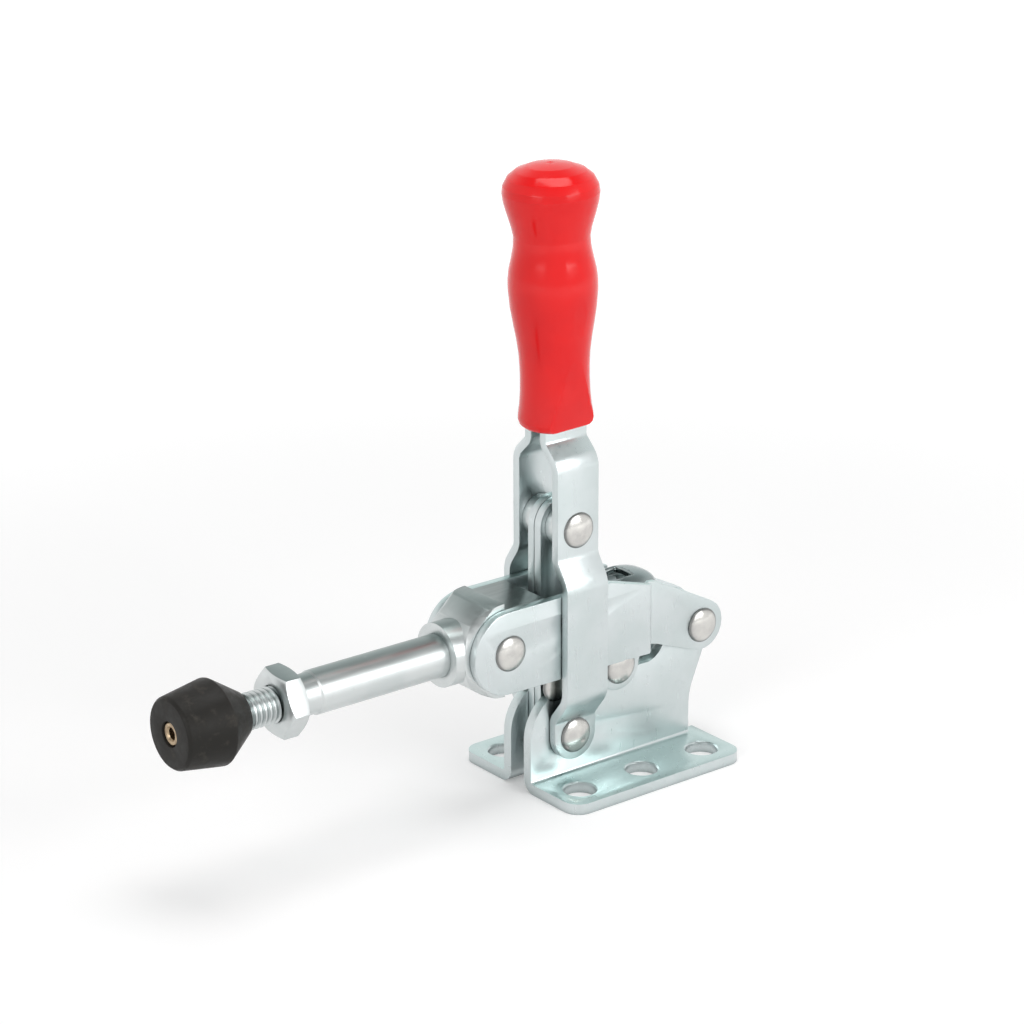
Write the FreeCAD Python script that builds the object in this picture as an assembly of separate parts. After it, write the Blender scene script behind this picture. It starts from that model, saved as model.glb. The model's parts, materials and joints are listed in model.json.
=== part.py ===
# Toggle clamp with a solid round arm, built in millimetres.
# +X points forward to the rubber tip, +Y is the near side and +Z is up.
# The origin is the middle of the six-hole foot pattern, on the bottom plane.
import FreeCAD, Part
import math
import os

V = FreeCAD.Vector
AXIS_X = V(1, 0, 0)
AXIS_Y = V(0, 1, 0)

# Clearances
SIDE_GAP = 0.10          # between two flat sheets that slide past each other
PIN_GAP = 0.05           # radial, a pin in a hole that turns on it
LOOP_GAP = 0.45          # radial, the link's eye on its stud
HEAD_GAP = 0.05          # under a rivet head on a piece that turns

# Feet and webs of the base
BASE_SHEET = 3.1
FOOT_LENGTH = 61.0
FOOT_HALF_WIDTH = 25.5
FOOT_CORNER_R = 5.0
HOLE_PITCH = 22.0
HOLE_ROW_Y = 16.8
HOLE_D = 9.0
HOLE_EDGE = 0.4
FOLD_R = 1.0
WEB_FRONT_R = 13.5
WEB_REAR_X = -26.5
WEB_LUG_R = 7.0

# Pivots, as (x, z)
FRONT_PIVOT = (17.0, 15.1)
REAR_PIVOT = (-29.4, 35.8)
LINK_STUD = (0.8, 31.1)
ARM_PIVOT = (17.0, 50.0)
UPPER_RIVET = (17.0, 75.3)
STOP_PIN = (21.4, 30.6)
BLOCK_RIVET = (41.5, 46.3)

# Rivets and pins
SHANK_R = 2.5
STOP_SHANK_R = 2.2
ARM_PIN_R = 3.0
STUD_R = 3.0
HEAD_R = 5.0
HEAD_EDGE = 0.5
HEAD_RISE = 1.6
STUD_COLLAR_R = 5.0

# Stack of sheets outward from the middle plane
PLATE_SHEET = 2.6
PLATE_SPLIT = 0.3
LINK_SHEET = 1.9
STUD_SPACE = 0.75
ARM_SHEET = 2.6
STRAP_SHEET = 2.6

# Handle straps and inner plates
STRAP_HALF_WIDTH = 7.1
PLATE_END_R = 7.5
EAR_TOP_Z = 21.0
MID_BOTTOM_Z = 28.0
MID_TOP_Z = 60.4
UPPER_FLAT_Y = 7.1
UPPER_BOTTOM_Z = 66.8
UPPER_TOP_Z = 93.6
ENTRY_Y = 1.9
ENTRY_BOTTOM_Z = 98.6
STRAP_TOP_Z = 126.0
STRAP_BEND_R = 2.0
BUSH_R = 6.0

# Arm side plates, block, rod and tip
ARM_FRONT_R = 11.8
ARM_REAR_X = -8.7
ARM_REAR_BOTTOM_Z = 33.7
ARM_REAR_TOP_Z = 53.8
ARM_SLOPE_X = 6.5
BLOCK_REAR_X = 28.0
BLOCK_EAR_R = 13.4
BOSS_R = 8.9
BOSS_FRONT_X = 57.6
CONE_START_X = 43.0
CONE_START_R = 17.0
ROD_D = 12.0
ROD_REAR_X = 48.0
ROD_FRONT_X = 104.5
ROD_NECK = 6.0
ROD_NECK_STEP = 0.4
THREAD_D = 10.0
THREAD_FRONT_X = 134.0
NUT_AF = 17.0
NUT_THICK = 5.9
NUT_TURN = -6.0
NUT_CHAMFER = 0.9
CAP_BACK_X = 120.1
CAP_BACK_R = 5.9
CAP_RIM_X = 128.4
CAP_RIM_R = 11.7
CAP_FRONT_X = 141.5
CAP_FRONT_R = 9.6
CAP_EDGE = 0.6
CAP_HOLE_R = 3.4
INSERT_R = 6.8
INSERT_BACK_X = 122.5
INSERT_FRONT_X = 138.5
INSERT_HOLE_R = 2.2

# Rear link
LINK_END_R = 7.4
LINK_EAR_R = 7.0
LIP_R = 4.75
LIP_BACK_X = -9.6
LIP_FRONT_X = -1.0
LINK_TOP_Z = 51.3

# Grip: half length, half width and corner radius of the foot, then radii at heights up its axis
GRIP_BOTTOM_Z = 103.0
GRIP_FOOT = (9.2, 6.8, 2.5)
GRIP_FOOT_MID = (8.8, 7.6, 5.2)
GRIP_MID_Z = 110.0
GRIP_FLAT = 0.4
GRIP_RADII = ((9.0, 117.5), (10.2, 128.0), (12.0, 143.5), (10.2, 154.6), (13.0, 167.0))
GRIP_DOME = ((9.4, 172.9), (6.2, 174.2), (3.0, 174.6))
GRIP_LEAN = 1.5

# Faces worked out from the stack
PLATE_IN = PLATE_SPLIT / 2
PLATE_OUT = PLATE_IN + PLATE_SHEET
WEB_IN = PLATE_OUT + SIDE_GAP
WEB_OUT = WEB_IN + BASE_SHEET
LINK_IN = WEB_OUT + SIDE_GAP
LINK_OUT = LINK_IN + LINK_SHEET
EAR_IN = LINK_IN
EAR_OUT = EAR_IN + STRAP_SHEET
ARM_IN = LINK_OUT + STUD_SPACE
ARM_OUT = ARM_IN + ARM_SHEET
MID_IN = ARM_OUT + SIDE_GAP
UPPER_OUT = UPPER_FLAT_Y + STRAP_SHEET
WEB_TOP_Z = FRONT_PIVOT[1] + WEB_FRONT_R
ROD_Z = BLOCK_RIVET[1]
ARM_TOP_Z = BLOCK_RIVET[1] + ARM_FRONT_R
ARM_BOTTOM_Z = BLOCK_RIVET[1] - ARM_FRONT_R


def save(name, shape):
    shape.exportStep("parts/" + name + ".step")


def far_side(shape):
    return shape.mirror(V(0, 0, 0), AXIS_Y)


def save_pair(name, near):
    save(name + "_near", near)
    save(name + "_far", far_side(near))


def pin_along_y(centre, radius, y0, y1):
    return Part.makeCylinder(radius, y1 - y0, V(centre[0], y0, centre[1]), AXIS_Y)


def rod_along_x(radius, x0, x1):
    return Part.makeCylinder(radius, x1 - x0, V(x0, 0, ROD_Z), AXIS_X)


def box(x0, x1, y0, y1, z0, z1):
    return Part.makeBox(x1 - x0, y1 - y0, z1 - z0, V(x0, y0, z0))


def on_circle(centre, radius, degrees):
    turn = math.radians(degrees)
    return (centre[0] + radius * math.cos(turn), centre[1] + radius * math.sin(turn))


def outline_face(steps, place):
    """A face from points; a step ("arc", through, end) is an arc and a plain pair is a corner."""
    edges = []
    here = place(*steps[0])
    for step in steps[1:] + [steps[0]]:
        if step[0] == "arc":
            end = place(*step[2])
            edges.append(Part.Arc(here, place(*step[1]), end).toShape())
        else:
            end = place(*step)
            if end.distanceToPoint(here) > 1e-6:
                edges.append(Part.LineSegment(here, end).toShape())
        here = end
    return Part.Face(Part.Wire(edges))


def side_plate(steps, y0, y1):
    """A plate with an outline in X and Z, between two Y planes."""
    face = outline_face(steps, lambda x, z: V(x, y0, z))
    return face.extrude(V(0, y1 - y0, 0))


def turned(steps):
    """A solid turned about the rod's axis from an outline of (x, radius)."""
    face = outline_face(steps, lambda x, r: V(x, 0, ROD_Z + r))
    return face.revolve(V(0, 0, ROD_Z), AXIS_X, 360)


def rivet(centre, radius, y_base):
    """A cross rivet with a low domed head at each side, turned as one solid."""
    rim = y_base + HEAD_EDGE
    top = y_base + HEAD_RISE
    dome = HEAD_RISE - HEAD_EDGE
    ball = (HEAD_R ** 2 + dome ** 2) / (2 * dome)
    bulge = math.sqrt(ball ** 2 - (HEAD_R / 2) ** 2) + top - ball
    steps = [
        (0, -top),
        ("arc", (HEAD_R / 2, -bulge), (HEAD_R, -rim)),
        (HEAD_R, -y_base),
        (radius, -y_base),
        (radius, y_base),
        (HEAD_R, y_base),
        (HEAD_R, rim),
        ("arc", (HEAD_R / 2, bulge), (0, top)),
    ]
    face = outline_face(steps, lambda r, y: V(centre[0] + r, y, centre[1]))
    return face.revolve(V(centre[0], 0, centre[1]), AXIS_Y, 360)


def base_plate():
    half = FOOT_LENGTH / 2
    bend_out = FOLD_R + BASE_SHEET
    low = 0.2929 * bend_out
    tight = 0.2929 * FOLD_R
    section = [
        (FOOT_HALF_WIDTH, 0),
        (FOOT_HALF_WIDTH, BASE_SHEET),
        (WEB_OUT + FOLD_R, BASE_SHEET),
        ("arc", (WEB_OUT + tight, BASE_SHEET + tight), (WEB_OUT, BASE_SHEET + FOLD_R)),
        (WEB_OUT, REAR_PIVOT[1] + WEB_LUG_R + 1),
        (WEB_IN, REAR_PIVOT[1] + WEB_LUG_R + 1),
        (WEB_IN, bend_out),
        ("arc", (WEB_IN + low, low), (WEB_IN + bend_out, 0)),
    ]
    x_back = REAR_PIVOT[0] - WEB_LUG_R - 1
    sheet = outline_face(section, lambda y, z: V(x_back, y, z)).extrude(V(half + 1 - x_back, 0, 0))
    foot = box(-half, half, 0, FOOT_HALF_WIDTH, 0, BASE_SHEET)
    corners = [e for e in foot.Edges if abs(e.CenterOfMass.z - BASE_SHEET / 2) < 0.01 and e.CenterOfMass.y > 1]
    foot = foot.makeFillet(FOOT_CORNER_R, corners)
    lug_start = on_circle(REAR_PIVOT, WEB_LUG_R, 25)
    lug_top = on_circle(REAR_PIVOT, WEB_LUG_R, 130)
    lug_end = on_circle(REAR_PIVOT, WEB_LUG_R, 245)
    web = side_plate([
        (half, 0),
        (half, FRONT_PIVOT[1]),
        ("arc", on_circle(FRONT_PIVOT, WEB_FRONT_R, 45), (FRONT_PIVOT[0], WEB_TOP_Z)),
        (-11.5, WEB_TOP_Z),
        ("arc", (-14.6, 30.0), (-16.8, 32.8)),
        lug_start,
        ("arc", lug_top, lug_end),
        (-28.2, 19.5),
        ("arc", (-26.9, 15.6), (WEB_REAR_X, 11.5)),
        (WEB_REAR_X, 0),
    ], 0, WEB_OUT + FOLD_R)
    plate = sheet.common(foot.fuse(web))
    for step in (-1, 0, 1):
        top = V(step * HOLE_PITCH, HOLE_ROW_Y, BASE_SHEET)
        plate = plate.cut(Part.makeCylinder(HOLE_D / 2, BASE_SHEET + 2, top - V(0, 0, BASE_SHEET + 1)))
        rim = Part.makeCone(HOLE_D / 2, HOLE_D / 2 + HOLE_EDGE, HOLE_EDGE, top - V(0, 0, HOLE_EDGE))
        plate = plate.cut(rim)
    for pivot in (FRONT_PIVOT, REAR_PIVOT):
        plate = plate.cut(pin_along_y(pivot, SHANK_R, 0, WEB_OUT + 1))
    return plate.removeSplitter()


def rear_spacer():
    tube = pin_along_y(REAR_PIVOT, WEB_LUG_R - 1.5, -WEB_IN, WEB_IN)
    return tube.cut(pin_along_y(REAR_PIVOT, SHANK_R, -WEB_IN - 1, WEB_IN + 1))


def bent_strip(path, thickness):
    """Closed outline of a strip: the path on its inner face and the same path offset outward."""
    outer = []
    for i, (y, z) in enumerate(path):
        normals = []
        for a, b in ((i - 1, i), (i, i + 1)):
            if a < 0 or b >= len(path):
                continue
            dy = path[b][0] - path[a][0]
            dz = path[b][1] - path[a][1]
            length = math.hypot(dy, dz)
            normals.append((dz / length, -dy / length))
        ny = sum(n[0] for n in normals) / len(normals)
        nz = sum(n[1] for n in normals) / len(normals)
        scale = thickness / (ny * ny + nz * nz)
        outer.append((y + ny * scale, z + nz * scale))
    return path + outer[::-1]


def handle_strap():
    bottom = FRONT_PIVOT[1] - STRAP_HALF_WIDTH
    path = [
        (EAR_IN, bottom),
        (EAR_IN, EAR_TOP_Z),
        (MID_IN, MID_BOTTOM_Z),
        (MID_IN, MID_TOP_Z),
        (UPPER_FLAT_Y, UPPER_BOTTOM_Z),
        (UPPER_FLAT_Y, UPPER_TOP_Z),
        (ENTRY_Y, ENTRY_BOTTOM_Z),
        (ENTRY_Y, STRAP_TOP_Z),
    ]
    x0 = FRONT_PIVOT[0] - STRAP_HALF_WIDTH
    face = outline_face(bent_strip(path, STRAP_SHEET), lambda y, z: V(x0, y, z))
    strap = face.extrude(V(2 * STRAP_HALF_WIDTH, 0, 0))
    bends = []
    for edge in strap.Edges:
        middle = edge.CenterOfMass
        along_x = abs(edge.Length - 2 * STRAP_HALF_WIDTH) < 0.01
        if along_x and bottom + 1 < middle.z < STRAP_TOP_Z - 1 and abs(middle.x - FRONT_PIVOT[0]) < 0.01:
            bends.append(edge)
    strap = strap.makeFillet(STRAP_BEND_R, bends)
    ear = pin_along_y(FRONT_PIVOT, STRAP_HALF_WIDTH, 0, ARM_OUT + STRAP_SHEET + 1)
    above = box(x0 - 1, x0 + 2 * STRAP_HALF_WIDTH + 1, 0, 40, FRONT_PIVOT[1], STRAP_TOP_Z + 1)
    strap = strap.common(ear.fuse(above))
    strap = strap.cut(pin_along_y(FRONT_PIVOT, SHANK_R + PIN_GAP, 0, 40))
    return strap.cut(pin_along_y(UPPER_RIVET, SHANK_R, 0, 40)).removeSplitter()


def inner_plate():
    low, high = FRONT_PIVOT, UPPER_RIVET
    plate = side_plate([
        (low[0] + PLATE_END_R, low[1]),
        (high[0] + PLATE_END_R, high[1]),
        ("arc", (high[0], high[1] + PLATE_END_R), (high[0] - PLATE_END_R, high[1])),
        (low[0] - PLATE_END_R, low[1]),
        ("arc", (low[0], low[1] - PLATE_END_R), (low[0] + PLATE_END_R, low[1])),
    ], PLATE_IN, PLATE_OUT)
    plate = plate.cut(pin_along_y(low, SHANK_R + PIN_GAP, 0, 9))
    plate = plate.cut(pin_along_y(high, SHANK_R, 0, 9))
    plate = plate.cut(pin_along_y(ARM_PIVOT, ARM_PIN_R, 0, 9))
    return plate.cut(pin_along_y(STOP_PIN, STOP_SHANK_R, 0, 9))


def upper_bush():
    bush = pin_along_y(UPPER_RIVET, BUSH_R, PLATE_OUT, UPPER_FLAT_Y)
    return bush.cut(pin_along_y(UPPER_RIVET, SHANK_R, 0, 20))


def rounded_rectangle(half_x, half_y, radius, z):
    """A closed wire of four sides and four quarter arcs about the grip's axis."""
    cx = FRONT_PIVOT[0]
    ix, iy = half_x - radius, half_y - radius
    diagonal = radius * math.sqrt(0.5)
    edges = []
    here = V(cx + half_x, -iy, z)
    for sx, sy in ((1, 1), (-1, 1), (-1, -1), (1, -1)):
        first = V(cx + sx * half_x, sy * iy, z)
        second = V(cx + sx * ix, sy * half_y, z)
        if sx * sy < 0:
            first, second = second, first
        edges.append(Part.LineSegment(here, first).toShape())
        through = V(cx + sx * (ix + diagonal), sy * (iy + diagonal), z)
        edges.append(Part.Arc(first, through, second).toShape())
        here = second
    return Part.Wire(edges)


def grip():
    """One lofted body, square at its foot and round above, with a slot for each strap."""
    cx = FRONT_PIVOT[0]
    sections = [
        rounded_rectangle(*GRIP_FOOT, GRIP_BOTTOM_Z),
        rounded_rectangle(*GRIP_FOOT_MID, GRIP_MID_Z),
    ]
    for radius, z in GRIP_RADII + GRIP_DOME:
        sections.append(rounded_rectangle(radius, radius, radius - GRIP_FLAT, z))
    body = Part.makeLoft(sections, True, False)
    body.rotate(V(cx, 0, GRIP_BOTTOM_Z), AXIS_Y, GRIP_LEAN)
    body = body.cut(box(cx - 30, cx + 30, -30, 30, GRIP_BOTTOM_Z - 5, GRIP_BOTTOM_Z))
    x0 = cx - STRAP_HALF_WIDTH
    x1 = cx + STRAP_HALF_WIDTH
    for side in (1, -1):
        y0, y1 = sorted((side * ENTRY_Y, side * (ENTRY_Y + STRAP_SHEET)))
        body = body.cut(box(x0, x1, y0, y1, GRIP_BOTTOM_Z - 5, STRAP_TOP_Z))
    return body


def arm_plate():
    front_top = (BLOCK_RIVET[0], ARM_TOP_Z)
    plate = side_plate([
        (ARM_REAR_X, ARM_REAR_BOTTOM_Z),
        (BLOCK_RIVET[0], ARM_BOTTOM_Z),
        ("arc", (BLOCK_RIVET[0] + ARM_FRONT_R, ROD_Z), front_top),
        (ARM_SLOPE_X, ARM_TOP_Z),
        (ARM_REAR_X, ARM_REAR_TOP_Z),
    ], ARM_IN, ARM_OUT)
    plate = plate.cut(pin_along_y(BLOCK_RIVET, SHANK_R, 0, 20))
    plate = plate.cut(pin_along_y(ARM_PIVOT, ARM_PIN_R + PIN_GAP, 0, 20))
    return plate.cut(pin_along_y(LINK_STUD, STUD_R, 0, 20))


def link_stud():
    stud = pin_along_y(LINK_STUD, STUD_R, LINK_IN + HEAD_GAP, ARM_OUT)
    return stud.fuse(pin_along_y(LINK_STUD, STUD_COLLAR_R, LINK_OUT + SIDE_GAP, ARM_IN)).removeSplitter()


def fork_block():
    body = box(BLOCK_REAR_X, BLOCK_RIVET[0], -ARM_IN, ARM_IN, ARM_BOTTOM_Z, ARM_TOP_Z)
    body = body.fuse(pin_along_y(BLOCK_RIVET, BLOCK_EAR_R, -ARM_IN, ARM_IN))
    ear_front = BLOCK_RIVET[0] + BLOCK_EAR_R
    limit = turned([
        (BLOCK_REAR_X - 1, 0),
        (BLOCK_REAR_X - 1, CONE_START_R),
        (CONE_START_X, CONE_START_R),
        (ear_front, BOSS_R),
        (ear_front, 0),
    ])
    body = body.common(limit)
    behind_ear = box(BLOCK_REAR_X - 5, BLOCK_RIVET[0], -20, 20, ARM_TOP_Z, ARM_TOP_Z + 9)
    below_ear = box(BLOCK_REAR_X - 5, BLOCK_RIVET[0], -20, 20, ARM_BOTTOM_Z - 9, ARM_BOTTOM_Z)
    body = body.cut(behind_ear).cut(below_ear)
    body = body.fuse(rod_along_x(BOSS_R, BLOCK_RIVET[0], BOSS_FRONT_X))
    body = body.common(box(BLOCK_REAR_X - 5, BOSS_FRONT_X, -ARM_IN, ARM_IN, 0, 99))
    body = body.cut(rod_along_x(ROD_D / 2, ROD_REAR_X, BOSS_FRONT_X + 1))
    return body.cut(pin_along_y(BLOCK_RIVET, SHANK_R, -20, 20)).removeSplitter()


def threaded_rod():
    full = ROD_D / 2
    neck_x = ROD_FRONT_X - ROD_NECK
    return turned([
        (ROD_REAR_X, 0),
        (ROD_REAR_X, full),
        (neck_x, full),
        (neck_x + ROD_NECK_STEP, full - ROD_NECK_STEP),
        (ROD_FRONT_X, full - ROD_NECK_STEP),
        (ROD_FRONT_X, THREAD_D / 2),
        (THREAD_FRONT_X - 1, THREAD_D / 2),
        (THREAD_FRONT_X, THREAD_D / 2 - 1),
        (THREAD_FRONT_X, 0),
    ])


def jam_nut():
    corner = NUT_AF / math.sqrt(3)
    points = []
    for i in range(7):
        turn = math.radians(60 * i + NUT_TURN)
        points.append(V(ROD_FRONT_X, corner * math.cos(turn), ROD_Z + corner * math.sin(turn)))
    nut = Part.Face(Part.makePolygon(points)).extrude(V(NUT_THICK, 0, 0))
    x0, x1 = ROD_FRONT_X, ROD_FRONT_X + NUT_THICK
    small = NUT_AF / 2 - 0.2
    nut = nut.common(turned([
        (x0, 0),
        (x0, small),
        (x0 + NUT_CHAMFER, corner + 0.1),
        (x1 - NUT_CHAMFER, corner + 0.1),
        (x1, small),
        (x1, 0),
    ]))
    return nut.cut(rod_along_x(THREAD_D / 2, x0 - 1, x1 + 1))


def rubber_cap():
    cap = turned([
        (CAP_BACK_X, 0),
        (CAP_BACK_X, CAP_BACK_R),
        (CAP_RIM_X - CAP_EDGE, CAP_RIM_R - CAP_EDGE),
        (CAP_RIM_X, CAP_RIM_R),
        (CAP_RIM_X + 2 * CAP_EDGE, CAP_RIM_R - CAP_EDGE / 2),
        (CAP_FRONT_X - CAP_EDGE, CAP_FRONT_R),
        (CAP_FRONT_X, CAP_FRONT_R - CAP_EDGE),
        (CAP_FRONT_X, 0),
    ])
    cap = cap.cut(rod_along_x(THREAD_D / 2, CAP_BACK_X - 1, INSERT_BACK_X))
    cap = cap.cut(rod_along_x(INSERT_R, INSERT_BACK_X, INSERT_FRONT_X))
    return cap.cut(rod_along_x(CAP_HOLE_R, INSERT_FRONT_X, CAP_FRONT_X + 1))


def cap_insert():
    sleeve = rod_along_x(INSERT_R, INSERT_BACK_X, INSERT_FRONT_X)
    sleeve = sleeve.cut(rod_along_x(THREAD_D / 2, INSERT_BACK_X - 1, THREAD_FRONT_X + 0.5))
    return sleeve.cut(rod_along_x(INSERT_HOLE_R, THREAD_FRONT_X, INSERT_FRONT_X + 1))


def rear_link():
    ear = LINK_STUD
    plate = side_plate([
        on_circle(REAR_PIVOT, LINK_END_R, 283),
        (-12.5, 34.3),
        (-7.6, 35.4),
        (ear[0] - LINK_EAR_R, ear[1]),
        ("arc", (ear[0], ear[1] - LINK_EAR_R), (ear[0] + LINK_EAR_R, ear[1])),
        (LIP_FRONT_X, LINK_TOP_Z),
        (LIP_BACK_X, LINK_TOP_Z),
        (-10.6, 54.2),
        on_circle(REAR_PIVOT, LINK_END_R, 62),
        ("arc", on_circle(REAR_PIVOT, LINK_END_R, 172), on_circle(REAR_PIVOT, LINK_END_R, 283)),
    ], LINK_IN, LINK_OUT)
    centre_y = LINK_OUT - LIP_R
    thin = LIP_R - LINK_SHEET
    half = math.sqrt(0.5)
    lip = outline_face([
        (LINK_OUT, LINK_TOP_Z),
        ("arc", (centre_y + LIP_R * half, LINK_TOP_Z + LIP_R * half), (centre_y, LINK_TOP_Z + LIP_R)),
        (centre_y, LINK_TOP_Z + thin),
        ("arc", (centre_y + thin * half, LINK_TOP_Z + thin * half), (LINK_IN, LINK_TOP_Z)),
    ], lambda y, z: V(LIP_BACK_X, y, z)).extrude(V(LIP_FRONT_X - LIP_BACK_X, 0, 0))
    link = plate.fuse(lip)
    link = link.cut(pin_along_y(REAR_PIVOT, SHANK_R + PIN_GAP, 0, 20))
    return link.cut(pin_along_y(ear, STUD_R + LOOP_GAP, 0, 20)).removeSplitter()


os.makedirs("parts", exist_ok=True)

save_pair("base_plate", base_plate())
save("rear_spacer", rear_spacer())
save("front_pivot_rivet", rivet(FRONT_PIVOT, SHANK_R, EAR_OUT + HEAD_GAP))
save("rear_pivot_rivet", rivet(REAR_PIVOT, SHANK_R, LINK_OUT + HEAD_GAP))

save_pair("handle_strap", handle_strap())
save_pair("inner_plate", inner_plate())
save_pair("upper_bush", upper_bush())
save("upper_rivet", rivet(UPPER_RIVET, SHANK_R, UPPER_OUT))
save("stop_pin", rivet(STOP_PIN, STOP_SHANK_R, LINK_IN + HEAD_GAP))
save("arm_pivot_pin", pin_along_y(ARM_PIVOT, ARM_PIN_R, -ARM_OUT, ARM_OUT))
save("handle_grip", grip())

save_pair("arm_plate", arm_plate())
save_pair("link_stud", link_stud())
save("fork_block", fork_block())
save("block_rivet", rivet(BLOCK_RIVET, SHANK_R, ARM_OUT))
save("threaded_rod", threaded_rod())
save("jam_nut", jam_nut())
save("rubber_cap", rubber_cap())
save("cap_insert", cap_insert())

save_pair("rear_link", rear_link())
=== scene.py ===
# Toggle clamp: the finish of each piece, the studio and the camera.
# Lengths are in metres. +X points forward to the rubber tip and +Z is up.
import json
import math

import bmesh
import bpy
from mathutils import Matrix, Vector

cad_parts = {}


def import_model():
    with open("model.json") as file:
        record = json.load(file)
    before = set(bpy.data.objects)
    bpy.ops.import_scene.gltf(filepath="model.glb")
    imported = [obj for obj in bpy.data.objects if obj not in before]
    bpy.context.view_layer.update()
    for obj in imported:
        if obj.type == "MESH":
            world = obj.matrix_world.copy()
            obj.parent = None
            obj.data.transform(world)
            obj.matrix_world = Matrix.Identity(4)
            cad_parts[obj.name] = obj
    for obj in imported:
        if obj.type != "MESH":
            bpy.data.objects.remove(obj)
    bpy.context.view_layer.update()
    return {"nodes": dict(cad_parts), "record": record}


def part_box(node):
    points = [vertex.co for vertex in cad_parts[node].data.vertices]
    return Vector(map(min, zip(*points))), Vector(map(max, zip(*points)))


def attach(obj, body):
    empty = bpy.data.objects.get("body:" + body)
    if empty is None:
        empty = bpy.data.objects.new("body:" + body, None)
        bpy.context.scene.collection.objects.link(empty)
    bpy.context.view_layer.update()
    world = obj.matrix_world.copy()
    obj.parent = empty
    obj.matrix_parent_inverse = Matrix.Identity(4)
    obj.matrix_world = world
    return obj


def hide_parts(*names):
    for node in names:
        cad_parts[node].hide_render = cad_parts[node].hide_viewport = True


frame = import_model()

MM = 0.001

# Camera, as solved from the photograph
VIEW_AZIMUTH = 142.08
VIEW_ELEVATION = 19.79
VIEW_ROLL = -0.26
VIEW_SHIFT = (25.56 * MM, -69.55 * MM)
VIEW_DISTANCE = 901.04 * MM
SENSOR_MM = 36.0
FOCAL_MM = 3199.48 / 1024 * SENSOR_MM

# Places taken from the part's own sizes
ROD_HEIGHT = 46.3 * MM
HANDLE_X = 17.0 * MM
RIVETS = {
    "front_pivot_rivet": (17.0, 15.1),
    "rear_pivot_rivet": (-29.4, 35.8),
    "upper_rivet": (17.0, 75.3),
    "block_rivet": (41.5, 46.3),
    "stop_pin": (21.4, 30.6),
}
RIVET_HEAD_RISE = 1.6
RIVET_RADIUS = 5.0
RIVET_SHANK_RADIUS = 2.2
PIVOT_HOLE_RADIUS = 2.55

# The studs that join the arm plates to the rear links
STUD = (0.8, 31.1)
STUD_SHANK_RADIUS = 3.0
STUD_SEAT = 1.95
STUD_HOLE_RADIUS = 3.45

# Rear links
LINK_IN = 6.05
LINK_SHEET = 1.9
LINK_EYE_RADIUS = 7.4
LINK_EYE_FROM, LINK_EYE_TO = 116.4, 283
LINK_BOTTOM = ((-12.5, 34.3), (-7.6, 35.4))
LINK_TOP = ((-1.0, 51.3), (-9.6, 53.6), (-12.0, 53.2))
STUD_EYE_RADIUS = 7.0

# Handle straps, as (y, z) along the inner face
STRAP_PATH = ((6.05, 8.0), (6.05, 21.0), (11.40, 28.0), (11.40, 60.4),
              (7.1, 66.8), (7.1, 93.6), (1.9, 98.6), (1.9, 126.0))
STRAP_SHEET = 2.6
STRAP_HALF_WIDTH = 7.1
STRAP_FOLD = 1.5

# Arm plates
ARM_REAR_X = -8.7 * MM
ARM_OUTER_Y = 11.3 * MM
ARM_REAR_BEND = 1.9

# The pressed top over the rear links, with a slot that lets the inner plates pass
HUMP_CENTRE = (-6.2, 0.0, 50.2)
HUMP_HALF = (9.9, 8.2, 5.4)
HUMP_ROUNDNESS = 0.8
HUMP_FRONT_X = 1.5
SLOT_HALF = 4.1
SLOT_END_X = -7.4

# Thread on the rod's front end
THREAD_PITCH = 1.5
THREAD_TURNS = 18
THREAD_STEPS = 36
THREAD_START_X = 105.3
THREAD_TOOTH = ((-0.66, 4.05), (-0.12, 4.97), (0.12, 4.97), (0.66, 4.05))

# Studio
FLOOR_HALF_SIZE = 6.0
FLOOR_DROP = 0.05
FLOOR_COLOUR = (0.80, 0.80, 0.80, 1)
FLOOR_LIFT_NEAR = 0.24
FLOOR_LIFT_FAR = 0.66
FLOOR_LIFT_REACH = (0.18, 0.75)
AMBIENT = 0.44
ZENITH_GREY = 0.25
ZENITH_HEIGHTS = (0.45, 0.95)

# Smallest step that still counts as one point, and the cut's own tolerance
SAME_POINT = 0.002
CUT_TOLERANCE = 0.0005


def bodies_by_node():
    groups = frame["record"]["behaviour"]["bodies"]
    return {node: body for body, nodes in groups.items() for node in nodes}


BODY_OF = bodies_by_node()
SLOT_OF = {s["node"]: s["material_slot"] for s in frame["record"]["subparts"]}


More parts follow.
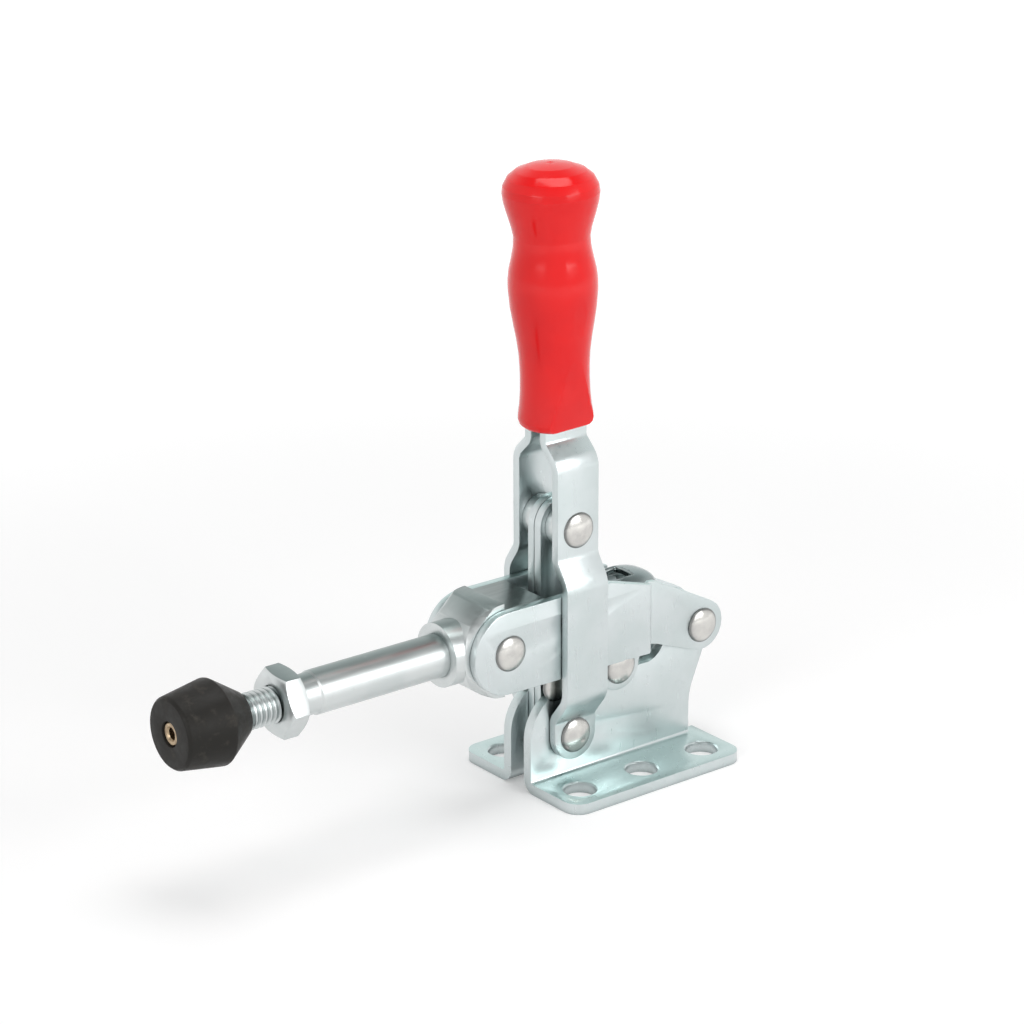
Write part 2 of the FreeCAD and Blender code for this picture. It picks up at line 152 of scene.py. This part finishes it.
# The finishes
class Finish:
    """A procedural material: small helpers that add one node and return its output."""

    def __init__(self, name):
        self.material = bpy.data.materials.new(name)
        self.material.use_nodes = True
        self.tree = self.material.node_tree
        self.shader = self.tree.nodes["Principled BSDF"]
        self.place = self.tree.nodes.new("ShaderNodeTexCoord").outputs["Object"]

    def set(self, **values):
        for socket, value in values.items():
            self.shader.inputs[socket.replace("_", " ")].default_value = value

    def link(self, output, socket):
        self.tree.links.new(output, self.shader.inputs[socket])

    def stretched(self, scale):
        node = self.tree.nodes.new("ShaderNodeMapping")
        node.inputs["Scale"].default_value = scale
        self.tree.links.new(self.place, node.inputs["Vector"])
        return node.outputs["Vector"]

    def noise(self, size, detail=3.0, rough=0.5, stretch=(1, 1, 1)):
        node = self.tree.nodes.new("ShaderNodeTexNoise")
        node.inputs["Scale"].default_value = 1 / (size * MM)
        node.inputs["Detail"].default_value = detail
        node.inputs["Roughness"].default_value = rough
        self.tree.links.new(self.stretched(stretch), node.inputs["Vector"])
        return node.outputs["Fac"]

    def spread(self, value, low, high, out_low=0.0, out_high=1.0):
        node = self.tree.nodes.new("ShaderNodeMapRange")
        node.interpolation_type = "SMOOTHSTEP"
        self.tree.links.new(value, node.inputs["Value"])
        for socket, number in zip(("From Min", "From Max", "To Min", "To Max"), (low, high, out_low, out_high)):
            node.inputs[socket].default_value = number
        return node.outputs["Result"]

    def math(self, kind, a, b):
        node = self.tree.nodes.new("ShaderNodeMath")
        node.operation = kind
        for socket, value in zip(node.inputs, (a, b)):
            if isinstance(value, (int, float)):
                socket.default_value = value
            else:
                self.tree.links.new(value, socket)
        return node.outputs["Value"]

    def mixed(self, amount, first, second):
        node = self.tree.nodes.new("ShaderNodeMix")
        node.data_type = "RGBA"
        if isinstance(amount, (int, float)):
            node.inputs["Factor"].default_value = amount
        else:
            self.tree.links.new(amount, node.inputs["Factor"])
        for socket, value in ((node.inputs[6], first), (node.inputs[7], second)):
            if isinstance(value, tuple):
                socket.default_value = (*value, 1)
            else:
                self.tree.links.new(value, socket)
        return node.outputs[2]

    def open_air(self, reach):
        """1 in the open, less in a gap that is narrower than the reach in mm."""
        node = self.tree.nodes.new("ShaderNodeAmbientOcclusion")
        node.samples = 12
        node.inputs["Distance"].default_value = reach * MM
        return node.outputs["AO"]

    def facing(self, axis):
        """1 where the surface faces straight along an axis, 0 where it lies along it."""
        node = self.tree.nodes.new("ShaderNodeNewGeometry")
        parts = self.tree.nodes.new("ShaderNodeSeparateXYZ")
        self.tree.links.new(node.outputs["Normal"], parts.inputs["Vector"])
        return parts.outputs[axis]

    def bump(self, layers):
        """Stacks (height, distance in mm, strength) layers into one normal."""
        normal = None
        for height, distance, strength in layers:
            node = self.tree.nodes.new("ShaderNodeBump")
            node.inputs["Distance"].default_value = distance * MM
            node.inputs["Strength"].default_value = strength
            self.tree.links.new(height, node.inputs["Height"])
            if normal is not None:
                self.tree.links.new(normal, node.inputs["Normal"])
            normal = node.outputs["Normal"]
        self.link(normal, "Normal")


def zinc(name, cool, pale, rough, grain, reach, top):
    """Bright zinc plate: a pale blue-green metal with soft clouds, fine grain and handling marks.

    The grain stretches the fine lines, reach is how far the painted shade in a gap reaches in mm, and top is the
    painted light and shade factor for what faces up.
    """
    f = Finish(name)
    clouds = f.noise(14, 3)
    speck = f.noise(0.5, 2)
    lines = f.noise(1.2, 4, 0.6, grain)
    wear = f.noise(5, 6, 0.7)
    base = f.mixed(f.spread(clouds, 0.35, 0.65), cool, pale)
    # Painted light and shade: faces that look up take the top factor's tone. It is lighter and greener on the sheet
    # and much darker on the turned steel, for the light they catch and what they reflect.
    painted_top_tone = tuple(c * k for c, k in zip(cool, top))
    base = f.mixed(f.spread(f.facing("Z"), 0.5, 0.98, 0.0, 0.9), base, painted_top_tone)
    dull = tuple(0.84 * c for c in cool)
    base = f.mixed(f.spread(wear, 0.60, 0.74, 0.0, 0.35), base, dull)
    # Painted shade: gaps narrower than the reach fade to a dark copy of the metal's tone, where shade falls between
    # parts.
    gap = tuple(c * k for c, k in zip(cool, (0.22, 0.27, 0.27)))
    base = f.mixed(f.spread(f.open_air(reach), 0.10, 0.70, 0.80, 0.0), base, gap)
    f.link(base, "Base Color")
    f.set(Metallic=1.0)
    drawn = f.spread(lines, 0.3, 0.7, rough - 0.04, rough + 0.05)
    shine = f.math("ADD", drawn, f.spread(wear, 0.55, 0.75, 0.0, 0.08))
    f.link(shine, "Roughness")
    f.bump([(speck, 0.02, 0.12), (lines, 0.02, 0.14), (wear, 0.04, 0.10)])
    return f.material


def polished_rivet():
    f = Finish("polished rivet steel")
    clouds = f.noise(3, 3)
    rings = f.noise(0.6, 3)
    crown = f.mixed(f.spread(clouds, 0.35, 0.7), (0.66, 0.65, 0.62), (0.57, 0.56, 0.54))
    # Painted shade and painted reflection: the dome's sloped rim, where it turns away from facing straight out, is
    # painted nearly black. The crown keeps the steel's tone.
    outward = f.math("ABSOLUTE", f.facing("Y"), 0.0)
    f.link(f.mixed(f.spread(outward, 0.80, 0.955), (0.22, 0.225, 0.22), crown), "Base Color")
    f.set(Metallic=1.0)
    f.link(f.spread(clouds, 0.3, 0.7, 0.16, 0.26), "Roughness")
    f.bump([(clouds, 0.10, 0.25), (rings, 0.02, 0.2)])
    return f.material


def red_grip():
    f = Finish("glossy red moulding")
    flow = f.noise(16, 3)
    ripple = f.noise(5, 2)
    pores = f.noise(0.7, 2)
    f.link(f.mixed(f.spread(flow, 0.35, 0.65), (0.86, 0.008, 0.009), (0.80, 0.006, 0.008)), "Base Color")
    f.set(Specular_IOR_Level=0.34)
    f.link(f.spread(flow, 0.3, 0.7, 0.13, 0.18), "Roughness")
    f.bump([(ripple, 0.06, 0.15), (pores, 0.01, 0.2)])
    return f.material


def black_rubber():
    f = Finish("black rubber")
    dust = f.noise(4, 5, 0.65)
    skin = f.noise(0.35, 3)
    dents = f.noise(2.2, 4, 0.6)
    f.link(f.mixed(f.spread(dust, 0.50, 0.75), (0.020, 0.019, 0.017), (0.050, 0.046, 0.040)), "Base Color")
    f.link(f.spread(dust, 0.35, 0.7, 0.40, 0.62), "Roughness")
    f.set(Specular_IOR_Level=0.16)
    f.bump([(skin, 0.04, 0.35), (dents, 0.10, 0.30)])
    return f.material


def turned_brass():
    f = Finish("turned brass")
    clouds = f.noise(1.5, 3)
    f.link(f.mixed(f.spread(clouds, 0.3, 0.7), (0.52, 0.40, 0.26), (0.36, 0.27, 0.18)), "Base Color")
    f.set(Metallic=1.0)
    f.link(f.spread(clouds, 0.3, 0.7, 0.25, 0.40), "Roughness")
    f.bump([(f.noise(0.3, 2), 0.02, 0.3)])
    return f.material


# The last tuple of each finish scales the painted light and shade on faces that look up.
SHEET = zinc("zinc plated sheet", (0.580, 0.640, 0.640), (0.630, 0.680, 0.685),
             0.31, (1, 1, 0.12), 5, (0.96, 1.10, 1.08))
TURNED = zinc("zinc plated turned steel", (0.580, 0.620, 0.618), (0.640, 0.670, 0.668),
              0.33, (0.10, 1, 1), 2.5, (0.42, 0.49, 0.48))
# The hump's sheet is a darker copy of the zinc, painted shade for the hollow top between the links.
PAINTED_DARK_SHEET = zinc("pressed and darkened sheet", (0.30, 0.34, 0.34), (0.42, 0.47, 0.47),
               0.18, (1, 1, 1), 3, (0.9, 1.0, 1.0))
RIVET = polished_rivet()
RED = red_grip()
RUBBER = black_rubber()
BRASS = turned_brass()
FINISH_OF_SLOT = {
    "zinc_sheet": SHEET,
    "zinc_steel": TURNED,
    "rivet_steel": RIVET,
    "red_plastic": RED,
    "black_rubber": RUBBER,
    "brass": BRASS,
}


# The pieces
def piece_from(bm, name, node):
    """Turns a bmesh into the visible piece that stands for a CAD node."""
    mesh = bpy.data.meshes.new(name)
    bm.to_mesh(mesh)
    bm.free()
    mesh.shade_smooth()
    mesh.set_sharp_from_angle(angle=math.radians(32))
    mesh.materials.append(FINISH_OF_SLOT[SLOT_OF[node]])
    piece = bpy.data.objects.new(name, mesh)
    bpy.context.scene.collection.objects.link(piece)
    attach(piece, BODY_OF[node])
    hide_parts(node)
    return piece


def soften(bm, width, sharpest=32.0, segments=2):
    """Rounds every edge that is sharper than the given angle."""
    edges = [e for e in bm.edges if len(e.link_faces) == 2 and e.calc_face_angle(0) > math.radians(sharpest)]
    bmesh.ops.bevel(bm, geom=edges, offset=width * MM, segments=segments, profile=0.5,
                    affect="EDGES", clamp_overlap=True, material=-1)


def rounded_copy(node, width):
    """The CAD node's own shape, merged, with its sharp edges broken as tumbling and plating leave them."""
    bm = bmesh.new()
    bm.from_mesh(frame["nodes"][node].data)
    bmesh.ops.remove_doubles(bm, verts=bm.verts, dist=0.004 * MM)
    bmesh.ops.dissolve_limit(bm, angle_limit=math.radians(0.6), verts=bm.verts, edges=bm.edges)
    if node.startswith("arm_plate"):
        rear = [e for e in bm.edges if all(v.co.x < ARM_REAR_X + 0.01 * MM and abs(v.co.y) > ARM_OUTER_Y - 0.01 * MM
                                           for v in e.verts)]
        bmesh.ops.bevel(bm, geom=rear, offset=ARM_REAR_BEND * MM, segments=6, profile=0.5, affect="EDGES",
                        clamp_overlap=True, material=-1)
    soften(bm, width)
    return piece_from(bm, node + "_finish", node)


def add_line(bm, points):
    """Joined edges through points given in mm as (x, y, z)."""
    verts = [bm.verts.new(Vector(p) * MM) for p in points]
    edges = [bm.edges.new(pair) for pair in zip(verts, verts[1:])]
    return verts + edges


def spin_full(bm, geom, centre, axis, steps):
    bmesh.ops.spin(bm, geom=geom, cent=centre, axis=axis, angle=2 * math.pi, steps=steps, use_merge=True)
    bmesh.ops.remove_doubles(bm, verts=bm.verts, dist=SAME_POINT * MM)
    bmesh.ops.recalc_face_normals(bm, faces=bm.faces)


def rivet_piece(node):
    """A cross rivet with a low domed head at each side."""
    x, z = RIVETS[node]
    low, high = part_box(node)
    top = high.y / MM
    rim = top - RIVET_HEAD_RISE
    profile = [(0.0, top), (1.2, top - 0.07), (2.4, top - 0.28), (3.5, top - 0.60), (4.3, top - 0.93),
               (4.75, top - 1.18), (RIVET_RADIUS, rim + 0.18), (RIVET_RADIUS, rim), (RIVET_SHANK_RADIUS, rim)]
    both = profile + [(r, -y) for r, y in reversed(profile)]
    bm = bmesh.new()
    geom = add_line(bm, [(x + r, y, z) for r, y in both])
    spin_full(bm, geom, (x * MM, 0, z * MM), (0, 1, 0), 64)
    return piece_from(bm, node + "_finish", node)


def link_stud(node):
    """A stud with a domed head that stands under the arm plate's lower edge."""
    x, z = STUD
    low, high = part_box(node)
    side = 1 if high.y > 0 else -1
    start = min(abs(low.y), abs(high.y)) / MM
    seat = start + STUD_SEAT
    profile = [(0.0, start), (STUD_SHANK_RADIUS, start), (STUD_SHANK_RADIUS, seat), (RIVET_RADIUS, seat),
               (RIVET_RADIUS, seat + 0.5),
               (4.75, seat + 0.72), (4.3, seat + 0.97), (3.5, seat + 1.30), (2.4, seat + 1.62), (1.2, seat + 1.83),
               (0.0, seat + 1.90)]
    bm = bmesh.new()
    geom = add_line(bm, [(x + r, side * y, z) for r, y in profile])
    spin_full(bm, geom, (x * MM, 0, z * MM), (0, 1, 0), 64)
    piece = piece_from(bm, node + "_finish", node)
    piece.data.materials[0] = RIVET


def add_arc(bm, start, centre, degrees, steps=20):
    """Spins one vertex about a centre given as (x, z) in mm, from +X towards +Z."""
    middle = Vector((centre[0], start.co.y / MM, centre[1])) * MM
    turned = bmesh.ops.spin(bm, geom=[start], cent=middle, axis=(0, -1, 0), angle=math.radians(degrees),
                            steps=steps, use_merge=False)
    return [v for v in turned["geom_last"] if isinstance(v, bmesh.types.BMVert)][0]


def rear_link(node, side):
    """The rear lug: a flat link with a straight top edge that ends in a round eye."""
    bm = bmesh.new()
    y = side * LINK_IN
    rear, stud = RIVETS["rear_pivot_rivet"], STUD
    top = math.radians(LINK_EYE_FROM)
    first = bm.verts.new(Vector((rear[0] + LINK_EYE_RADIUS * math.cos(top), y,
                                 rear[1] + LINK_EYE_RADIUS * math.sin(top))) * MM)
    here = add_arc(bm, first, rear, LINK_EYE_TO - LINK_EYE_FROM)
    for x, z in (*LINK_BOTTOM, (stud[0] - STUD_EYE_RADIUS, stud[1])):
        corner = bm.verts.new(Vector((x, y, z)) * MM)
        bm.edges.new((here, corner))
        here = corner
    here = add_arc(bm, here, stud, 180)
    for x, z in LINK_TOP:
        corner = bm.verts.new(Vector((x, y, z)) * MM)
        bm.edges.new((here, corner))
        here = corner
    bm.edges.new((here, first))
    for (x, z), radius in ((rear, PIVOT_HOLE_RADIUS), (stud, STUD_HOLE_RADIUS)):
        place = Matrix.Translation(Vector((x, y, z)) * MM) @ Matrix.Rotation(math.pi / 2, 4, "X")
        bmesh.ops.create_circle(bm, cap_ends=False, radius=radius * MM, segments=48, matrix=place)
    bmesh.ops.triangle_fill(bm, use_beauty=True, edges=bm.edges[:])
    outer = bmesh.ops.extrude_face_region(bm, geom=bm.faces[:])["geom"]
    bmesh.ops.translate(bm, vec=(0, side * LINK_SHEET * MM, 0),
                        verts=[v for v in outer if isinstance(v, bmesh.types.BMVert)])
    bmesh.ops.recalc_face_normals(bm, faces=bm.faces)
    soften(bm, 0.2)
    piece_from(bm, node + "_finish", node)


def handle_strap(node, side):
    """A strip of sheet, folded out and in along its path, with a round ear at the front pivot."""
    bm = bmesh.new()
    x = HANDLE_X / MM - STRAP_HALF_WIDTH
    geom = add_line(bm, [(x, side * y, z) for y, z in STRAP_PATH])
    wide = bmesh.ops.extrude_edge_only(bm, edges=[e for e in geom if isinstance(e, bmesh.types.BMEdge)])["geom"]
    bmesh.ops.translate(bm, vec=(2 * STRAP_HALF_WIDTH * MM, 0, 0),
                        verts=[v for v in wide if isinstance(v, bmesh.types.BMVert)])
    folds = [e for e in bm.edges if len(e.link_faces) == 2]
    bmesh.ops.bevel(bm, geom=folds, offset=STRAP_FOLD * MM, segments=5, profile=0.5, affect="EDGES",
                    clamp_overlap=True, material=-1)
    foot = [v for v in bm.verts if v.co.z < 8.1 * MM]
    bmesh.ops.bevel(bm, geom=foot, offset=(STRAP_HALF_WIDTH - 0.02) * MM, segments=14, profile=0.5,
                    affect="VERTICES", clamp_overlap=False, material=-1)
    ear = min(bm.faces, key=lambda face: face.calc_center_median().z)
    rim = ear.edges[:]
    bmesh.ops.delete(bm, geom=[ear], context="FACES_ONLY")
    pivot = RIVETS["front_pivot_rivet"]
    place = Matrix.Translation(Vector((pivot[0], side * STRAP_PATH[0][0], pivot[1])) * MM)
    ring = bmesh.ops.create_circle(bm, cap_ends=False, radius=PIVOT_HOLE_RADIUS * MM, segments=48,
                                   matrix=place @ Matrix.Rotation(math.pi / 2, 4, "X"))["verts"]
    rim += list({e for v in ring for e in v.link_edges})
    bmesh.ops.triangle_fill(bm, use_beauty=True, edges=rim)
    bmesh.ops.recalc_face_normals(bm, faces=bm.faces)
    bm.normal_update()
    face = max(bm.faces, key=lambda f: f.calc_area())
    outward = 1 if face.normal.y * side > 0 else -1
    bmesh.ops.solidify(bm, geom=bm.faces[:], thickness=-outward * STRAP_SHEET * MM)
    bmesh.ops.recalc_face_normals(bm, faces=bm.faces)
    soften(bm, 0.3)
    piece_from(bm, node + "_finish", node)


def around_rod(profile, width=0.0):
    """A piece turned about the rod's axis from (x, radius) in mm."""
    bm = bmesh.new()
    geom = add_line(bm, [(x, 0, ROD_HEIGHT / MM + r) for x, r in profile])
    spin_full(bm, geom, (0, 0, ROD_HEIGHT), (1, 0, 0), 96)
    if width:
        soften(bm, width, 20.0, 3)
    return bm


def threaded_rod():
    """The round rod with its neck, and the thread's tooth wound round its front end."""
    bm = around_rod([
        (48.0, 0), (48.0, 6.0), (98.2, 6.0), (98.7, 5.6), (104.1, 5.6), (104.5, 5.2), (104.5, 4.15),
        (133.2, 4.15), (133.8, 3.6), (134.0, 0)])
    verts = [bm.verts.new(Vector((THREAD_START_X + x, 0, ROD_HEIGHT / MM + r)) * MM) for x, r in THREAD_TOOTH]
    edges = [bm.edges.new((verts[i], verts[i - 1])) for i in range(4)]
    bmesh.ops.spin(bm, geom=verts + edges, cent=(0, 0, ROD_HEIGHT), axis=(1, 0, 0),
                   dvec=(THREAD_PITCH / THREAD_STEPS * MM, 0, 0), angle=2 * math.pi * THREAD_TURNS,
                   steps=THREAD_TURNS * THREAD_STEPS, use_merge=False)
    bmesh.ops.holes_fill(bm, edges=[e for e in bm.edges if e.is_boundary], sides=8)
    bmesh.ops.recalc_face_normals(bm, faces=bm.faces)
    return piece_from(bm, "threaded_rod_finish", "threaded_rod")


def rubber_cap():
    bm = around_rod([
        (120.1, 5.0), (120.1, 5.9), (127.9, 11.25), (128.5, 11.65), (129.3, 11.55), (140.7, 9.75), (141.5, 9.1),
        (141.5, 3.4), (138.5, 3.4), (138.5, 6.8), (122.5, 6.8), (122.5, 5.0), (120.1, 5.0)], width=0.25)
    return piece_from(bm, "rubber_cap_finish", "rubber_cap")


def cap_insert():
    bm = around_rod([
        (122.5, 5.0), (134.5, 5.0), (134.5, 1.6), (140.5, 1.6), (141.0, 2.0), (141.0, 2.8), (140.7, 3.2),
        (138.5, 3.3), (138.5, 6.8), (122.5, 6.8), (122.5, 5.0)])
    return piece_from(bm, "cap_insert_finish", "cap_insert")


GRIP_PROFILE = ((0.0, 174.45), (0.5, 174.5), (1.3, 174.65), (3.2, 174.5), (6.2, 174.0), (9.4, 172.8),
                (11.5, 171.1), (12.7, 168.9), (13.0, 167.0), (12.7, 164.6), (11.8, 161.3), (10.8, 158.0),
                (10.25, 155.2), (10.35, 152.6), (10.9, 149.6), (11.65, 146.4), (12.0, 143.5), (12.0, 140.6),
                (11.6, 136.0), (10.9, 131.6), (10.2, 127.6), (9.65, 123.6), (9.4, 119.6), (9.35, 116.0),
                (9.45, 112.4), (9.7, 109.0), (10.1, 106.4), (10.2, 104.9), (9.9, 103.8), (9.2, 103.1), (8.4, 103.0),
                (0.0, 103.0))
GRIP_LEAN = 1.5
GRIP_FOOT_Z = 103.0
FLAT_FOOT_Y = 6.7
FLAT_TOP_Y = 9.4
FLAT_TOP_Z = 122.0


def handle_grip():
    """A turned form with a slanted flat pressed on each side of its foot, leaning a little forward."""
    bm = bmesh.new()
    geom = add_line(bm, [(HANDLE_X / MM + r, 0, z) for r, z in GRIP_PROFILE])
    spin_full(bm, geom, (HANDLE_X, 0, 0), (0, 0, 1), 96)
    for side in (1, -1):
        slope = Vector((0, side * (FLAT_TOP_Z - GRIP_FOOT_Z), FLAT_FOOT_Y - FLAT_TOP_Y)).normalized()
        on_flat = Vector((HANDLE_X, side * FLAT_FOOT_Y * MM, GRIP_FOOT_Z * MM))
        bmesh.ops.bisect_plane(bm, geom=bm.verts[:] + bm.edges[:] + bm.faces[:], dist=CUT_TOLERANCE * MM,
                               plane_co=on_flat, plane_no=slope, clear_outer=True)
        bmesh.ops.holes_fill(bm, edges=[e for e in bm.edges if e.is_boundary])
    bmesh.ops.remove_doubles(bm, verts=bm.verts, dist=0.02 * MM)
    bmesh.ops.recalc_face_normals(bm, faces=bm.faces)
    soften(bm, 0.45, 9.0, 3)
    lean = Matrix.Rotation(math.radians(GRIP_LEAN), 4, "Y")
    foot = Matrix.Translation((HANDLE_X, 0, GRIP_FOOT_Z * MM))
    bmesh.ops.transform(bm, matrix=foot @ lean @ foot.inverted(), verts=bm.verts)
    return piece_from(bm, "handle_grip_finish", "handle_grip")


def link_hump():
    """The pressed top that joins the two rear links, hollow below and slotted in front."""
    bm = bmesh.new()
    bmesh.ops.create_uvsphere(bm, u_segments=64, v_segments=32, radius=1.0)
    for v in bm.verts:
        v.co = Vector([math.copysign(abs(c) ** HUMP_ROUNDNESS, c) for c in v.co])
    place = Matrix.Translation(Vector(HUMP_CENTRE) * MM) @ Matrix.Diagonal((*(Vector(HUMP_HALF) * MM), 1))
    bmesh.ops.transform(bm, matrix=place, verts=bm.verts)
    bmesh.ops.bisect_plane(bm, geom=bm.verts[:] + bm.edges[:] + bm.faces[:], dist=CUT_TOLERANCE * MM,
                           plane_co=Vector(HUMP_CENTRE) * MM, plane_no=(0, 0, -1), clear_outer=True)
    bmesh.ops.bisect_plane(bm, geom=bm.verts[:] + bm.edges[:] + bm.faces[:], dist=CUT_TOLERANCE * MM,
                           plane_co=Vector((HUMP_FRONT_X, 0, 0)) * MM, plane_no=(1, 0, 0), clear_outer=True)
    for co, no in (((0, SLOT_HALF, 0), (0, 1, 0)), ((0, -SLOT_HALF, 0), (0, 1, 0)), ((SLOT_END_X, 0, 0), (1, 0, 0))):
        bmesh.ops.bisect_plane(bm, geom=bm.verts[:] + bm.edges[:] + bm.faces[:], dist=CUT_TOLERANCE * MM,
                               plane_co=Vector(co) * MM, plane_no=no)
    slot = [f for f in bm.faces if abs(f.calc_center_median().y) < SLOT_HALF * MM
            and f.calc_center_median().x > SLOT_END_X * MM]
    bmesh.ops.delete(bm, geom=slot, context="FACES")
    bmesh.ops.recalc_face_normals(bm, faces=bm.faces)
    mesh = bpy.data.meshes.new("rear_link_hump")
    bm.to_mesh(mesh)
    bm.free()
    mesh.shade_smooth()
    # Painted shade: the hump wears the darkened copy of the zinc.
    mesh.materials.append(PAINTED_DARK_SHEET)
    piece = bpy.data.objects.new("rear_link_hump", mesh)
    bpy.context.scene.collection.objects.link(piece)
    wall = piece.modifiers.new("wall", "SOLIDIFY")
    wall.thickness = LINK_SHEET * MM
    wall.offset = -1
    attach(piece, "rear_links")


for name in RIVETS:
    rivet_piece(name)
link_hump()
for name, hand in (("near", 1), ("far", -1)):
    link_stud("link_stud_" + name)
    rear_link("rear_link_" + name, hand)
    handle_strap("handle_strap_" + name, hand)
threaded_rod()
rubber_cap()
cap_insert()
handle_grip()
EDGE_WIDTH = {
    "base_plate": 0.18, "inner_plate": 0.25, "arm_plate": 0.30,
    "fork_block": 0.4, "jam_nut": 0.15, "upper_bush": 0.2, "rear_spacer": 0.2, "arm_pivot_pin": 0.2,
}
for node in sorted(frame["nodes"]):
    stem = node.replace("_near", "").replace("_far", "")
    if stem in EDGE_WIDTH:
        rounded_copy(node, EDGE_WIDTH[stem])


# The studio
def seen_directly(tree):
    """1 for the rays that show the background: the camera's own and those through gloss and glass."""
    rays = tree.nodes.new("ShaderNodeLightPath")
    seen = rays.outputs["Is Camera Ray"]
    for kind in ("Is Glossy Ray", "Is Transmission Ray"):
        most = tree.nodes.new("ShaderNodeMath")
        most.operation = "MAXIMUM"
        tree.links.new(seen, most.inputs[0])
        tree.links.new(rays.outputs[kind], most.inputs[1])
        seen = most.outputs["Value"]
    return seen


def floor():
    """A pale table that keeps the object's shadow and grows lighter away from it."""
    mesh = bpy.data.meshes.new("floor")
    bm = bmesh.new()
    bmesh.ops.create_grid(bm, x_segments=1, y_segments=1, size=FLOOR_HALF_SIZE)
    bm.to_mesh(mesh)
    bm.free()
    plane = bpy.data.objects.new("floor", mesh)
    bpy.context.scene.collection.objects.link(plane)
    plane.location.z = -FLOOR_DROP * MM
    material = bpy.data.materials.new("white table")
    material.use_nodes = True
    tree = material.node_tree
    tree.nodes.clear()
    seen = seen_directly(tree)
    lift = tree.nodes.new("ShaderNodeMath")
    lift.operation = "MULTIPLY"
    place = tree.nodes.new("ShaderNodeTexCoord")
    away = tree.nodes.new("ShaderNodeVectorMath")
    away.operation = "LENGTH"
    tree.links.new(place.outputs["Object"], away.inputs[0])
    far = tree.nodes.new("ShaderNodeMapRange")
    far.interpolation_type = "SMOOTHSTEP"
    for socket, number in zip(("From Min", "From Max", "To Min", "To Max"),
                              (*FLOOR_LIFT_REACH, FLOOR_LIFT_NEAR, FLOOR_LIFT_FAR)):
        far.inputs[socket].default_value = number
    tree.links.new(away.outputs["Value"], far.inputs["Value"])
    tree.links.new(far.outputs["Result"], lift.inputs[1])
    tree.links.new(seen, lift.inputs[0])
    diffuse = tree.nodes.new("ShaderNodeBsdfDiffuse")
    diffuse.inputs["Color"].default_value = FLOOR_COLOUR
    glow = tree.nodes.new("ShaderNodeEmission")
    tree.links.new(lift.outputs["Value"], glow.inputs["Strength"])
    both = tree.nodes.new("ShaderNodeAddShader")
    tree.links.new(diffuse.outputs["BSDF"], both.inputs[0])
    tree.links.new(glow.outputs["Emission"], both.inputs[1])
    out = tree.nodes.new("ShaderNodeOutputMaterial")
    tree.links.new(both.outputs["Shader"], out.inputs["Surface"])
    mesh.materials.append(material)


def world():
    """Even light all round, with a darker zenith in what shines."""
    scene = bpy.context.scene
    scene.world = bpy.data.worlds.new("studio")
    scene.world.use_nodes = True
    tree = scene.world.node_tree
    background = tree.nodes["Background"]
    seen = seen_directly(tree)
    place = tree.nodes.new("ShaderNodeTexCoord")
    parts = tree.nodes.new("ShaderNodeSeparateXYZ")
    tree.links.new(place.outputs["Generated"], parts.inputs["Vector"])
    height = tree.nodes.new("ShaderNodeMapRange")
    height.interpolation_type = "SMOOTHSTEP"
    height.inputs["From Min"].default_value = ZENITH_HEIGHTS[0]
    height.inputs["From Max"].default_value = ZENITH_HEIGHTS[1]
    height.inputs["To Min"].default_value = 1.0
    height.inputs["To Max"].default_value = ZENITH_GREY
    tree.links.new(parts.outputs["Z"], height.inputs["Value"])
    level = tree.nodes.new("ShaderNodeMapRange")
    level.inputs["To Min"].default_value = AMBIENT
    tree.links.new(height.outputs["Result"], level.inputs["To Max"])
    tree.links.new(seen, level.inputs["Value"])
    tree.links.new(level.outputs["Result"], background.inputs["Strength"])
    background.inputs["Color"].default_value = (1, 1, 1, 1)


def softbox(name, azimuth, elevation, distance, size, power):
    """An area lamp round the object; azimuth is counted as the camera's is."""
    light = bpy.data.lights.new(name, "AREA")
    light.shape = "RECTANGLE"
    light.size, light.size_y = size
    light.energy = power
    lamp = bpy.data.objects.new(name, light)
    bpy.context.scene.collection.objects.link(lamp)
    turn, lift = math.radians(azimuth), math.radians(elevation)
    away = Vector((math.sin(turn) * math.cos(lift), -math.cos(turn) * math.cos(lift), math.sin(lift)))
    middle = Vector((30, 0, 80)) * MM
    lamp.location = middle + away * distance
    lamp.rotation_euler = away.to_track_quat("Z", "Y").to_euler()


def camera():
    """The camera at the photograph's own angle, distance and framing."""
    turn, lift, roll = (math.radians(a) for a in (VIEW_AZIMUTH, VIEW_ELEVATION, VIEW_ROLL))
    back = Vector((math.sin(turn) * math.cos(lift), -math.cos(turn) * math.cos(lift), math.sin(lift)))
    right = Vector((math.cos(turn), math.sin(turn), 0))
    up = back.cross(right)
    across = right * math.cos(roll) + up * math.sin(roll)
    upward = up * math.cos(roll) - right * math.sin(roll)
    turn_in = Matrix((across, upward, back)).transposed()
    data = bpy.data.cameras.new("camera")
    data.sensor_width = SENSOR_MM
    data.lens = FOCAL_MM
    data.clip_start = 0.01
    eye = bpy.data.objects.new("camera", data)
    bpy.context.scene.collection.objects.link(eye)
    place = turn_in @ Vector((VIEW_SHIFT[0], VIEW_SHIFT[1], -VIEW_DISTANCE)) * -1
    eye.matrix_world = Matrix.Translation(place) @ turn_in.to_4x4()
    bpy.context.scene.camera = eye


floor()
world()
softbox("overhead softbox", VIEW_AZIMUTH + 150, 84, 1.1, (0.8, 0.55), 5.0)
softbox("left softbox", VIEW_AZIMUTH - 34, 22, 1.2, (0.55, 0.60), 3.0)
softbox("right softbox", VIEW_AZIMUTH + 54, 22, 1.2, (0.70, 0.60), 5.2)
camera()
bpy.context.scene.view_settings.view_transform = "Standard"
